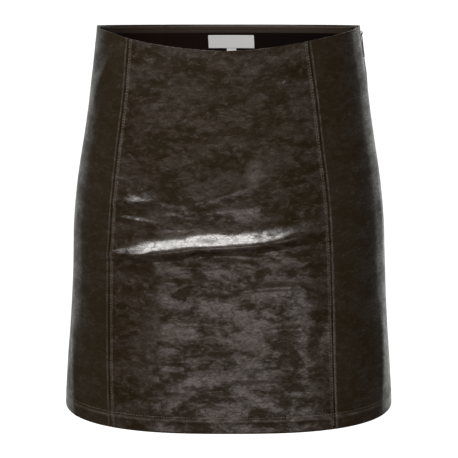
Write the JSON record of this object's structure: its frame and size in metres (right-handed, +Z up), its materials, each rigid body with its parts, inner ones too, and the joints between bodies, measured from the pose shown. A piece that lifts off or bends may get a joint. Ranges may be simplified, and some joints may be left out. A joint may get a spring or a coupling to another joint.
{
  "type": "straight skirt",
  "caption": "Short straight skirt in dark brown crackled faux leather with two front seams, a faced waist, a turned-up hem and a concealed side zip.",
  "frame": {"origin": "middle of the waist opening, within 2 mm of the level of the waist edge at the side seams, where a wearer's waist holds the skirt up", "axes": "+Z up towards the wearer's head, -Y towards the front, +X towards the wearer's left, the picture's right"},
  "size_m": [0.3697, 0.2544, 0.4289],
  "materials": {
    "leather_centre": "glossy crackled",
    "leather_side": "glossy crackled",
    "leather_back": "glossy crackled",
    "facing_brown": "matt",
    "label_white": "matt woven",
    "zip_tape_black": "matt woven",
    "zip_chain_black": "satin",
    "zip_metal_black": "gloss"
  },
  "bodies": {
    "skirt": {"front_centre": "leather_centre", "front_side_a": "leather_side", "front_side_b": "leather_side", "back": "leather_back", "facing_front": "facing_brown", "facing_back": "facing_brown", "woven_label": "label_white", "size_tab": "label_white", "zip_tape_front": "zip_tape_black", "zip_tape_back": "zip_tape_black", "zip_chain": "zip_chain_black", "zip_slider": "zip_metal_black"},
    "zip_pull": {"zip_pull": "zip_metal_black"}
  },
  "joints": [
    {"name": "zip_pull_swing", "type": "hinge", "parent": "skirt", "child": "zip_pull", "pos_m": [0.14554, 0, -0.00699], "axis": [0, -1, 0], "range_deg": [0, 150]}
  ]
}
